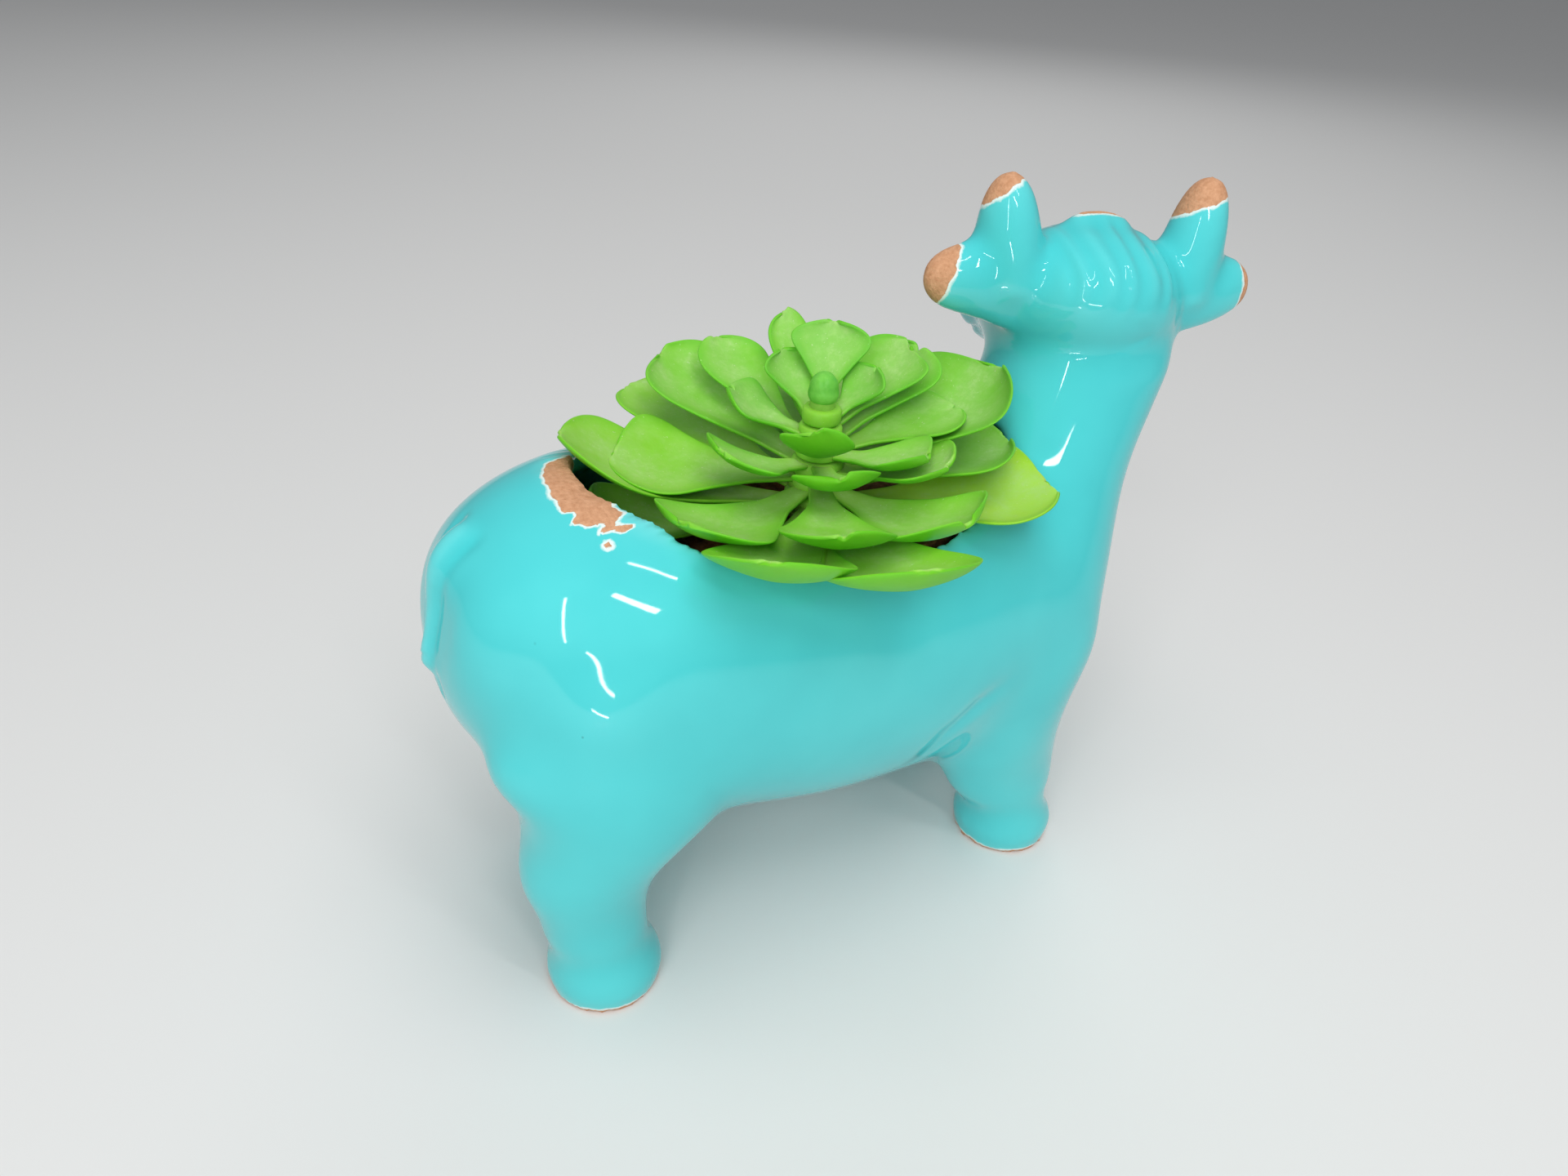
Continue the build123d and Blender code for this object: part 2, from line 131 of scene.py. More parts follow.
# Each tube: spot on the flank, two mirror directions, distance and width in metres
TUBES = (
    ((-39.2, -25.0, 98.5), (0.006, -0.399, 0.917), (0.238, -0.672, 0.701), 1.2, 0.022),
    ((-44.7, -26.8, 95.1), (-0.165, -0.649, 0.743), (0.018, -0.818, 0.575), 1.2, 0.055),
    ((-57.0, -23.7, 92.8), (-0.472, -0.528, 0.706), (-0.616, -0.747, 0.253), 1.2, 0.024),
    ((-52.0, -29.3, 87.0), (-0.494, -0.851, 0.177), (-0.259, -0.964, 0.065), 1.0, 0.020),
    ((-53.6, -29.8, 83.9), (-0.556, -0.830, -0.052), (-0.321, -0.938, -0.131), 0.45, 0.009),
)


FLOOR_HALF = 4
WORLD_STRENGTH = 0.24


def make_studio():
    make_lamp("ceiling", (-0.1, -0.25, 1.2), (0, 0, 0), (1.0, 1.0), 8.3)
    make_lamp("key", (-0.8, -0.8, 0.75), (0, 0, 0.06), (0.6, 0.6), 5.2)
    make_lamp("back", (0.7, 0.9, 0.8), (0, 0, 0.06), (0.8, 0.8), 2.5)
    for number, tube in enumerate(TUBES):
        make_tube(f"tube_{number + 1}", *tube)
    world = bpy.data.worlds.new("studio")
    scene.world = world
    world.use_nodes = True
    background = world.node_tree.nodes["Background"]
    background.inputs["Color"].default_value = (0.95, 0.97, 1.0, 1)
    background.inputs["Strength"].default_value = WORLD_STRENGTH
    floor = bpy.data.meshes.new("floor")
    corners = [(x * FLOOR_HALF, y * FLOOR_HALF, 0) for x, y in ((-1, -1), (1, -1), (1, 1), (-1, 1))]
    floor.from_pydata(corners, [], [(0, 1, 2, 3)])
    floor = bpy.data.objects.new("floor", floor)
    scene.collection.objects.link(floor)
    material, nodes, links, shader = new_material("floor")
    noise = nodes.new("ShaderNodeTexNoise")
    noise.inputs["Scale"].default_value = 3.0
    stops = [(0.3, (0.74, 0.74, 0.73)), (0.7, (0.8, 0.8, 0.79))]
    links.new(color_ramp(nodes, links, noise.outputs["Fac"], stops), shader.inputs["Base Color"])
    shader.inputs["Roughness"].default_value = 0.6
    floor.data.materials.append(material)


# Material helpers
def new_material(name):
    material = bpy.data.materials.new(name)
    material.use_nodes = True
    nodes, links = material.node_tree.nodes, material.node_tree.links
    return material, nodes, links, nodes["Principled BSDF"]


def color_ramp(nodes, links, value, stops):
    ramp = nodes.new("ShaderNodeValToRGB")
    while len(ramp.color_ramp.elements) < len(stops):
        ramp.color_ramp.elements.new(0.5)
    for element, (place, color) in zip(ramp.color_ramp.elements, stops):
        element.position = place
        element.color = (*color, 1)
    links.new(value, ramp.inputs["Fac"])
    return ramp.outputs["Color"]


def math_node(nodes, links, operation, *values):
    node = nodes.new("ShaderNodeMath")
    node.operation = operation
    for socket, value in zip(node.inputs, values):
        if isinstance(value, (int, float)):
            socket.default_value = value
        else:
            links.new(value, socket)
    return node.outputs["Value"]


def noise_node(nodes, links, scale, detail, rough):
    node = nodes.new("ShaderNodeTexNoise")
    node.inputs["Scale"].default_value = scale
    node.inputs["Detail"].default_value = detail
    node.inputs["Roughness"].default_value = rough
    links.new(nodes.new("ShaderNodeTexCoord").outputs["Object"], node.inputs["Vector"])
    return node.outputs["Fac"]


def mix_color(nodes, links, share, first, second):
    node = nodes.new("ShaderNodeMix")
    node.data_type = "RGBA"
    if isinstance(share, (int, float)):
        node.inputs["Factor"].default_value = share
    else:
        links.new(share, node.inputs["Factor"])
    for socket, value in ((node.inputs[6], first), (node.inputs[7], second)):
        if isinstance(value, tuple):
            socket.default_value = (*value, 1)
        else:
            links.new(value, socket)
    return node.outputs[2]


def bump_node(nodes, links, height, strength, distance):
    node = nodes.new("ShaderNodeBump")
    node.inputs["Strength"].default_value = strength
    node.inputs["Distance"].default_value = distance
    links.new(height, node.inputs["Height"])
    return node.outputs["Normal"]


def attribute_node(nodes, name):
    node = nodes.new("ShaderNodeAttribute")
    node.attribute_name = name
    return node.outputs["Fac"]


# Mesh helpers
class Skin:
    """A mesh held as arrays, for smoothing and carving in millimetres of the planter's own place."""

    def __init__(self, mesh):
        count = len(mesh.vertices)
        co = np.zeros(count * 3, np.float32)
        mesh.vertices.foreach_get("co", co)
        self.co = co.reshape(-1, 3).astype(float) / MM - HOME
        edges = np.zeros(len(mesh.edges) * 2, np.int32)
        mesh.edges.foreach_get("vertices", edges)
        self.a, self.b = edges.reshape(-1, 2).T
        self.degree = np.bincount(self.a, minlength=count) + np.bincount(self.b, minlength=count)
        starts = np.zeros(len(mesh.polygons), np.int32)
        totals = np.zeros(len(mesh.polygons), np.int32)
        corners = np.zeros(len(mesh.loops), np.int32)
        mesh.polygons.foreach_get("loop_start", starts)
        mesh.polygons.foreach_get("loop_total", totals)
        mesh.loops.foreach_get("vertex_index", corners)
        self.p0 = corners[starts]
        self.p1 = corners[starts + 1]
        self.p2 = corners[starts + 2]
        self.p3 = corners[starts + np.where(totals > 3, 3, 2)]

    def pull(self):
        """How far each point lies from the middle of its neighbours."""
        total = np.zeros_like(self.co)
        for k in range(3):
            total[:, k] = np.bincount(self.a, self.co[self.b, k], len(self.co))
            total[:, k] += np.bincount(self.b, self.co[self.a, k], len(self.co))
        return total / self.degree[:, None] - self.co

    def normals(self):
        face = np.cross(self.co[self.p2] - self.co[self.p0], self.co[self.p3] - self.co[self.p1])
        total = np.zeros_like(self.co)
        for k in range(3):
            for corner in (self.p0, self.p1, self.p2, self.p3):
                total[:, k] += np.bincount(corner, face[:, k], len(self.co))
        return total / (np.linalg.norm(total, axis=1)[:, None] + 1e-12)

    def smooth(self, rounds, weight):
        for _ in range(rounds):
            self.co += self.pull() * np.asarray(weight)[..., None]

    def relax(self, rounds, weight):
        """Smooths the points that have a weight, and works on these alone."""
        inside = weight > 0
        links = inside[self.a] | inside[self.b]
        a, b = self.a[links], self.b[links]
        keep, places = np.unique(np.concatenate([a, b]), return_inverse=True)
        a, b = places[: len(a)], places[len(a) :]
        co, pull = self.co[keep], weight[keep, None]
        count = np.bincount(a, minlength=len(keep)) + np.bincount(b, minlength=len(keep))
        for _ in range(rounds):
            sums = [
                np.bincount(a, co[b, k], len(keep)) + np.bincount(b, co[a, k], len(keep)) for k in range(3)
            ]
            co += (np.stack(sums, 1) / count[:, None] - co) * pull
        self.co[keep] = co

    def fill_hollows(self, rounds, weight):
        """Rounds inner corners, as slip and glaze do, and leaves outer ones."""
        for k in range(rounds):
            if k % 4 == 0:
                normal = self.normals()
            rise = np.einsum("ij,ij->i", self.pull(), normal)
            self.co += (np.clip(rise, 0, None) * weight)[:, None] * normal

    def store(self, mesh):
        mesh.vertices.foreach_set("co", to_frame(self.co).astype(np.float32).ravel())
        mesh.update()


def set_attribute(mesh, name, values):
    attribute = mesh.attributes.new(name, "FLOAT", "POINT")
    attribute.data.foreach_set("value", np.asarray(values, np.float32))


def ramp(value, low, high):
    """0 at low, 1 at high, eased between."""
    t = np.clip((value - low) / (high - low), 0, 1)
    return t * t * (3 - 2 * t)


def distance_to_line(points, line):
    """Distance of points to a run of straight pieces, and the share along it."""
    best = np.full(len(points), 1e9)
    share = np.zeros(len(points))
    line = np.asarray(line, float)
    for k in range(len(line) - 1):
        run = line[k + 1] - line[k]
        t = np.clip(((points - line[k]) @ run) / (run @ run), 0, 1)
        gap = np.linalg.norm(points - line[k] - t[:, None] * run, axis=1)
        nearer = gap < best
        best[nearer] = gap[nearer]
        share[nearer] = (k + t[nearer]) / (len(line) - 1)
    return best, share


# The glazed shell
HEAD_TURN, HEAD_PITCH, HEAD_ROLL = math.radians(76.0), math.radians(18.0), math.radians(3.5)
HEAD_MIDDLE = np.array([75.0, 5.0, 126.0])
HEAD_AHEAD = np.array(
    [
        math.cos(HEAD_PITCH) * math.cos(HEAD_TURN),
        math.cos(HEAD_PITCH) * math.sin(HEAD_TURN),
        -math.sin(HEAD_PITCH),
    ]
)
LEVEL_LEFT = np.array([-math.sin(HEAD_TURN), math.cos(HEAD_TURN), 0.0])
HEAD_RISE = np.cross(HEAD_AHEAD, LEVEL_LEFT)
HEAD_LEFT = LEVEL_LEFT * math.cos(HEAD_ROLL) + HEAD_RISE * math.sin(HEAD_ROLL)
HEAD_UP = HEAD_RISE * math.cos(HEAD_ROLL) - LEVEL_LEFT * math.sin(HEAD_ROLL)


def head_point(ahead, left, up):
    return HEAD_MIDDLE + ahead * HEAD_AHEAD + left * HEAD_LEFT + up * HEAD_UP


# Directions out of the shoulders and thighs, and a point on the trunk's axis
OUT_RIGHT = np.array([0.853, -0.521, 0.0])
OUT_LEFT = np.array([0.853, 0.521, 0.0])
AXIS_LOW = np.array([0.0, 0.0, 62.0])
THIGH_RIGHT = np.array([-0.35, -0.93, 0.0])
THIGH_LEFT = np.array([-0.35, 0.93, 0.0])
RIM_EXTRA = 4.3
BROAD_SPREAD = 10
HAIR_PITCH, HAIR_DEPTH = 5.0, 0.32


def carve(skin):
    """Fuller forms and a thicker rim, then hair, a plain face, tail and creases, on the shell's skin."""
    points, normal = skin.co.copy(), skin.normals()
    outer = ((points - AXIS_LOW) * normal).sum(1) > 0
    local = points - HEAD_MIDDLE
    ahead, left, up = local @ HEAD_AHEAD, local @ HEAD_LEFT, local @ HEAD_UP
    near_head = (points[:, 2] > 104) & (points[:, 0] > 35)
    move = np.zeros(len(points))
    # the rim is thicker behind the mouth
    inward = ramp(normal[:, 0], -0.3, 0.5) * ramp(points[:, 2], 89, 96) * ramp(-points[:, 0], 30, 42)
    skin.co[:, 0] += RIM_EXTRA * inward * ramp(26 - np.abs(points[:, 1]), 0, 8)
    # fuller shoulders, neck and thighs, and a leaner tail with a pointed end: place, spread and shift
    swellings = (
        ((58.5, -30.0, 67.0), 16.0, 3.4 * OUT_RIGHT),
        ((58.5, 30.0, 67.0), 16.0, 3.4 * OUT_LEFT),
        ((79.0, -14.0, 111.0), 16.0, 2.6 * OUT_RIGHT),
        ((-75.0, -1.0, 87.0), 8.0, np.array([2.3, 0.0, 0.0])),
        ((-75.5, 0.0, 75.0), 3.0, np.array([-2.2, 0.0, -0.6])),
        ((-53.0, -31.0, 74.5), 10.0, 2.0 * THIGH_RIGHT),
        ((-40.0, 31.0, 74.5), 10.0, 2.0 * THIGH_LEFT),
    )
    for place, spread, shift in swellings:
        gap = np.linalg.norm(points - np.array(place), axis=1)
        facing = np.abs(normal @ shift) / np.linalg.norm(shift) if spread >= BROAD_SPREAD else 1.0
        skin.co += (np.exp(-((gap / spread) ** 2)) * facing * outer)[:, None] * shift
    # a longer end of the left ear and of the right horn
    longer_ear = ramp(left, 25, 38) * near_head
    skin.co += longer_ear[:, None] * (2.6 * HEAD_LEFT - 1.6 * HEAD_UP)
    longer_horn = ramp(-left, 10, 15) * ramp(up, 12, 24) * near_head
    skin.co += longer_horn[:, None] * (2.0 * HEAD_UP)
    # hair down the back of the head, between the horns
    wave = left + 0.9 * np.sin(up * 0.33 + 0.8) + 0.5 * np.sin(left * 0.6)
    hair = np.cos(2 * math.pi * wave / HAIR_PITCH)
    where = ramp(up, -7, 6) * ramp(-ahead, -3, 6) * ramp(15 - np.abs(left), 0, 5) * near_head
    move += HAIR_DEPTH * hair * where * ramp(19 - up, 0, 7)
    # eyes, nostrils and the line of the mouth
    for side in (-1, 1):
        eye = head_point(15, side * 17.5, 4)
        gap = np.linalg.norm(points - eye, axis=1)
        move += 1.3 * np.exp(-((gap / 3.2) ** 2)) - 0.8 * np.exp(-(((gap - 5.0) / 1.1) ** 2))
        nostril = head_point(42, side * 6.5, 0.5)
        gap = np.linalg.norm(points - nostril, axis=1)
        move -= 1.8 * np.exp(-((gap / 2.0) ** 2))
    lips = (up + 6.0 + 0.02 * left**2) / 0.9
    move -= 0.9 * np.exp(-(lips**2)) * ramp(ahead, 26, 32) * near_head
    # tail: a raised ridge with a groove down each side
    tail_line = [(-62, 0, 101), (-67, 0, 97), (-71.5, 0, 91), (-74, 0, 85), (-74.6, -0.4, 76)]
    gap, share = distance_to_line(points, tail_line)
    width = 4.6 - 2.4 * share
    fade = ramp(share, 0.02, 0.2) * (gap < 9)
    move -= 0.7 * np.exp(-(((np.abs(points[:, 1]) - width) / 1.2) ** 2)) * fade
    move += 0.5 * np.exp(-((points[:, 1] / (0.6 * width)) ** 2)) * fade * (share < 0.98)
    # creases behind the front leg, on the shoulder and in the flank
    creases = (
        ([(17.4, -33, 42.9), (20.9, -36.6, 51.1), (27.5, -37.6, 57.2), (33.7, -37.2, 60.3)], 2.6, 0.9),
        ([(-1.6, -33.3, 87.4), (3.9, -35.7, 82.0), (10.1, -37.8, 75.8)], 5.0, 0.35),
        ([(-25, -29.7, 43.9), (-30, -33, 50), (-36, -36, 58)], 3.5, 0.7),
    )
    for line, spread, depth in creases:
        gap, share = distance_to_line(points, line)
        move -= depth * np.exp(-((gap / spread) ** 2)) * np.sin(math.pi * np.clip(0.1 + 0.8 * share, 0, 1))
    skin.co += move[:, None] * normal


def bare_field(points):
    """Millimetres inside the places where the glaze is worn through to the clay."""
    field = np.full(len(points), -20.0)
    # worn horn and ear tips: tip, slant of the cut to the left and up, depth and reach
    cuts = (
        (head_point(-9, 24, 24), 0.55, 0.84, 3.0, 15.0),
        (head_point(-9, -24, 26), 0.37, 0.93, 5.2, 15.0),
        (head_point(-6, 40, 3.4), 0.94, 0.34, 5.0, 15.0),
        (head_point(-6, -37.4, 5), -1.0, 0.05, 3.0, 12.0),
    )
    for tip, left, up, depth, reach in cuts:
        side = (points - tip) @ (left * HEAD_LEFT + up * HEAD_UP) + depth
        near = reach - np.linalg.norm(points - tip, axis=1)
        field = np.maximum(field, np.minimum(side, near))
    gap, _ = distance_to_line(points, [head_point(-5, 10, 18), head_point(-5, -4, 18)])
    field = np.maximum(field, 1.5 - gap)
    rim = [(-43.0, 9, 105), (-46.8, 1, 106), (-47.2, -6, 105.5), (-45.5, -12, 104.3), (-42.5, -16.2, 103)]
    gap, share = distance_to_line(points, rim)
    reach = np.interp(share, (0.0, 0.12, 0.5, 0.75, 0.9, 1.0), (1.5, 4.0, 4.6, 4.0, 2.2, 1.0))
    x, y, z = points.T
    lobes = np.sin(1.5 * y + 0.8 * z) + 0.6 * np.sin(2.3 * y - 1.1 * x)
    field = np.maximum(field, reach - gap + 0.7 * lobes * ramp(share, 0.4, 0.7))
    for place, reach in (((-46.5, -18.4, 102.3), 0.55), ((30.4, -26.7, 94.5), 1.6)):
        field = np.maximum(field, reach - np.linalg.norm(points - np.array(place), axis=1))
    return np.maximum(field, 0.9 - points[:, 2])


def glaze_material():
    material, nodes, links, shader = new_material("turquoise_glaze")
    bare = attribute_node(nodes, "bare")
    thin = attribute_node(nodes, "thin")
    ragged = noise_node(nodes, links, 420.0, 4.0, 0.6)
    coarse = noise_node(nodes, links, 150.0, 2.0, 0.5)
    edge = math_node(nodes, links, "MULTIPLY_ADD", ragged, 1.5, bare)
    edge = math_node(nodes, links, "MULTIPLY_ADD", coarse, 1.2, edge)
    edge = math_node(nodes, links, "ADD", edge, -1.35)
    clay_share = color_ramp(nodes, links, edge, [(0.0, (0, 0, 0)), (0.12, (1, 1, 1))])
    rim = math_node(nodes, links, "MULTIPLY_ADD", edge, 0.5, 0.5)
    rim_share = color_ramp(nodes, links, rim, [(0.15, (0, 0, 0)), (0.38, (1, 1, 1))])
    cloud = noise_node(nodes, links, 28.0, 3.0, 0.55)
    blues = [(0.3, (0.045, 0.52, 0.545)), (0.55, (0.055, 0.57, 0.59)), (0.75, (0.07, 0.61, 0.625))]
    glaze = color_ramp(nodes, links, cloud, blues)
    lift = color_ramp(nodes, links, thin, [(0.0, (0, 0, 0)), (0.45, (0.25,) * 3), (1.0, (1, 1, 1))])
    glaze = mix_color(nodes, links, lift, glaze, (0.16, 0.70, 0.71))
    speck = nodes.new("ShaderNodeTexVoronoi")
    speck.inputs["Scale"].default_value = 230.0
    links.new(nodes.new("ShaderNodeTexCoord").outputs["Object"], speck.inputs["Vector"])
    dots = color_ramp(nodes, links, speck.outputs["Distance"], [(0.05, (0.55,) * 3), (0.09, (0, 0, 0))])
    rare = color_ramp(nodes, links, speck.outputs["Color"], [(0.86, (0, 0, 0)), (0.9, (1, 1, 1))])
    dot_share = math_node(nodes, links, "MULTIPLY", dots, rare)
    glaze = mix_color(nodes, links, dot_share, glaze, (0.01, 0.12, 0.13))
    browns = [(0.3, (0.50, 0.24, 0.12)), (0.7, (0.68, 0.37, 0.21))]
    clay = color_ramp(nodes, links, noise_node(nodes, links, 900.0, 4.0, 0.65), browns)
    color = mix_color(nodes, links, rim_share, glaze, (0.72, 0.86, 0.82))
    color = mix_color(nodes, links, clay_share, color, clay)
    links.new(color, shader.inputs["Base Color"])
    rough = color_ramp(nodes, links, clay_share, [(0.0, (0.045,) * 3), (1.0, (0.75,) * 3)])
    links.new(rough, shader.inputs["Roughness"])
    grain = math_node(nodes, links, "MULTIPLY", clay_share, noise_node(nodes, links, 1500.0, 3.0, 0.6))
    step = math_node(nodes, links, "MULTIPLY_ADD", clay_share, -0.8, grain)
    ripple = math_node(nodes, links, "MULTIPLY_ADD", noise_node(nodes, links, 60.0, 1.0, 0.4), 0.5, step)
    links.new(bump_node(nodes, links, ripple, 0.5, 0.0006), shader.inputs["Normal"])
    shader.inputs["IOR"].default_value = 1.52
    return material


def voxel_mesh(source, size, name):
    """An even mesh of a solid, smooth shaded, with no material."""
    scene.collection.objects.link(source)
    remesh = source.modifiers.new("remesh", "REMESH")
    remesh.mode = "VOXEL"
    remesh.voxel_size = size
    mesh = bpy.data.meshes.new_from_object(source.evaluated_get(bpy.context.evaluated_depsgraph_get()))
    bpy.data.objects.remove(source)
    mesh.name = name
    mesh.materials.clear()
    mesh.polygons.foreach_set("use_smooth", np.ones(len(mesh.polygons), bool))
    return mesh


SHELL_VOXEL, FOAM_VOXEL = 0.0009, 0.001
SOLE_HEIGHT = 1.2


def make_shell():
    copy = bpy.data.objects.new("shell_source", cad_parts["planter_body"].data.copy())
    mesh = voxel_mesh(copy, SHELL_VOXEL, "glazed_shell")
    skin = Skin(mesh)
    free = np.where(skin.co[:, 2] < SOLE_HEIGHT, 0.0, 1.0)
    skin.smooth(6, 0.5 * free)
    in_head = ramp(skin.co[:, 2], 112, 122) * ramp(skin.co[:, 0], 36, 44)
    skin.fill_hollows(20, 0.8 * free)
    skin.fill_hollows(160, 0.8 * free * (1 - in_head))
    skin.smooth(4, 0.5 * free)
    height, along = skin.co[:, 2], skin.co[:, 0]
    trunk = ramp(height, 16, 26) * ramp(along, -70, -62) * (1 - ramp(height, 84, 90) * ramp(52 - along, 0, 8))
    skin.relax(120, 0.6 * trunk * (1 - in_head) * (1 - ramp(height, 106, 114)))
    carve(skin)
    skin.smooth(1, 0.4 * free)
    normal = skin.normals()
    bend = -np.einsum("ij,ij->i", skin.pull(), normal)
    for _ in range(12):
        bend = smooth_values(skin, bend)
    skin.store(mesh)
    set_attribute(mesh, "thin", np.clip(0.25 + bend * 9.0, 0, 1))
    set_attribute(mesh, "bare", bare_field(skin.co))
    mesh.materials.append(glaze_material())
    shell = bpy.data.objects.new("glazed_shell", mesh)
    scene.collection.objects.link(shell)
    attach(shell, "planter")
    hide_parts("planter_body")


def smooth_values(skin, values):
    count = len(values)
    total = np.bincount(skin.a, values[skin.b], count) + np.bincount(skin.b, values[skin.a], count)
    return 0.5 * values + 0.5 * total / skin.degree


# The succulent
# Each whorl's leaves: seat on the collar, turn, length from the stem's axis, slope at the root,
# slope at the end, width, tilt to one side, and how late the leaf curls up
LOWER_SEAT, UPPER_SEAT = 0.9, 2.5
FLANGE_HEIGHT, COLLAR_HEIGHT, COLLAR_RADIUS, COLLAR_STEP = 1.2, 3.6, 6.5, 0.5
LEAF_ROOT, PETIOLE_WIDTH, LEAF_CUP = 1.2, 4.2, 0.13
LEAF_ROWS, LEAF_COLUMNS, LEAF_STEPS = 36, 19, 120
LEAF_SEED, FOAM_SEED = 40, 7
COLLAR_SIDES = 24
BUD_RADIUS = 2.9
WHORLS = (
    (
        (LOWER_SEAT, 179, 51, 0.5, 62, 24.5, 2, 4.8),
        (LOWER_SEAT, 231, 60, 8.5, 66, 26.5, 0, 4.6),
        (LOWER_SEAT, 328, 48.5, 3.5, 26, 32, 7, 2.8),
        (LOWER_SEAT, 166, 55.5, 8, 45, 28.5, -2, 1.9),
        (LOWER_SEAT, 48, 43, 3.5, 23, 22, 0, 2.8),
        (LOWER_SEAT, 90, 50, 3, 24, 26, 0, 2.8),
        (UPPER_SEAT, 258, 59, 4, 72, 29, 0, 4.6),
        (UPPER_SEAT, 120, 49, 15, 10, 25, 0, 2.8),
        (UPPER_SEAT, 2, 34, 6, 21, 24, 0, 2.8),
    ),
    (
        (LOWER_SEAT, 207.5, 47, 0.7, 52, 24.5, 0, 2.9),
        (LOWER_SEAT, 284, 41, 0.5, 56, 28, 0, 3.2),
        (LOWER_SEAT, 345, 42, 7.5, 24, 29, 0, 2.8),
        (LOWER_SEAT, 66, 44, 10, 31, 25, 0, 2.8),
        (UPPER_SEAT, 245, 45.5, 3.5, 66, 21, 0, 4.0),
        (UPPER_SEAT, 162, 42, 3, 25, 29.5, -6, 2.8),
    ),
    (
        (LOWER_SEAT, 116, 44, 13, 39, 27, 0, 2.8),
        (LOWER_SEAT, 353, 45, 15, 62, 33, 0, 2.8),
        (LOWER_SEAT, 307, 29, 11, 40, 20, 0, 2.8),
        (LOWER_SEAT, 55, 38, 16, 38, 24, 0, 2.8),
        (UPPER_SEAT, 249, 25, 8, 67, 17, 0, 3.2),
        (UPPER_SEAT, 191, 27, 10, 56, 20, 0, 2.8),
    ),
    (
        (LOWER_SEAT, 101, 38, 15.5, 39, 16, 0, 2.8),
        (LOWER_SEAT, 350, 31, 13, 20, 21, 2, 2.8),
        (LOWER_SEAT, 300, 24.5, 9, 34, 19, 0, 2.8),
        (UPPER_SEAT, 236, 25.5, 20, 80, 14, 0, 2.8),
        (UPPER_SEAT, 15, 33, 22, 51, 20, 0, 2.8),
    ),
    (
        (LOWER_SEAT, 77, 33.5, 24, 53, 9.5, 0, 2.8),
        (LOWER_SEAT, 145, 21, 18, 58, 17, 0, 2.8),
        (UPPER_SEAT, 13, 27.5, 24, 51, 20, 0, 2.8),
    ),
    (
        (LOWER_SEAT, 100, 17.5, 32.5, 72, 14, 0, 2.8),
        (LOWER_SEAT, 0, 16, 34, 70, 14, 0, 2.8),
        (UPPER_SEAT, 54, 20.5, 43, 73, 16, 0, 2.8),
    ),
)
# The one leaf that has faded to yellow
YELLOW_LEAF = list(WHORLS[0][2][1:])


def leaf_breadth(share, width):
    """Breadth of a leaf at shares of its length: a slim foot, a broad spoon and a round end."""
    foot = PETIOLE_WIDTH / width
    rows = ((0.0, foot), (0.25, max(foot, 0.28)), (0.5, 0.66), (0.68, 0.97), (0.8, 1.04), (1.0, 1.04))
    fine = np.linspace(0, 1, 201)
    line = np.interp(fine, *zip(*rows))
    line = np.convolve(np.pad(line, 8, mode="edge"), np.full(17, 1 / 17), mode="valid")
    end = np.clip((share - 0.72) / 0.28, 0, 1)
    return width * np.interp(share, fine, line) * np.maximum((1 - end**2.2) ** (1 / 2.2), 0.16)


def leaf_sheet(rng, root, height, turn, length, first_slope, last_slope, width, tilt, curl):
    """Rows of points on the middle sheet of a leaf, and the share along and across of each."""
    along = 1 - (1 - np.linspace(0, 1, LEAF_ROWS)) ** 1.4
    across = np.linspace(-1, 1, LEAF_COLUMNS)
    edge = np.abs(across)
    fine = np.linspace(0, 1, LEAF_STEPS)
    slope = np.radians(first_slope + (last_slope - first_slope) * fine**curl)
    step = (length - root) / (LEAF_STEPS - 1)
    reach = root + np.concatenate([[0], np.cumsum(np.cos(slope[:-1]) * step)])
    rise = np.concatenate([[0], np.cumsum(np.sin(slope[:-1]) * step)])
    breadth = leaf_breadth(along, width)
    wave = rng.uniform(0, 2 * math.pi, 2)
    notch = rng.choice([0.0, 0.0, 0.0, 1.1])
    skew = rng.uniform(-1.3, 1.3)
    rows = np.zeros((len(along), len(across), 3))
    for i, t in enumerate(along):
        at_reach, at_rise, at_slope = (np.interp(t, fine, line) for line in (reach, rise, slope))
        near_end = float(ramp(t, 0.8, 1.0))
        ripple = 0.6 * math.sin(6 * t + wave[0]) * across + 0.6 * np.sin(3.6 * across + wave[1])
        lean = math.tan(math.radians(tilt)) * breadth[i] / 2 * across * t
        cup = LEAF_CUP * breadth[i] * edge**2 + ripple * edge * t * t + lean
        onward = near_end * (skew * across - notch * np.exp(-((across / 0.4) ** 2)))
        forward = at_reach + onward * math.cos(at_slope)
        lift = at_rise + onward * math.sin(at_slope)
        rows[i, :, 0] = forward - math.sin(at_slope) * cup
        rows[i, :, 1] = breadth[i] / 2 * across
        rows[i, :, 2] = lift + math.cos(at_slope) * cup
    a = math.radians(turn)
    x = STEM[0] + rows[..., 0] * math.cos(a) - rows[..., 1] * math.sin(a)
    y = STEM[1] + rows[..., 0] * math.sin(a) + rows[..., 1] * math.cos(a)
    return np.stack([x, y, height + rows[..., 2]], -1), along, across


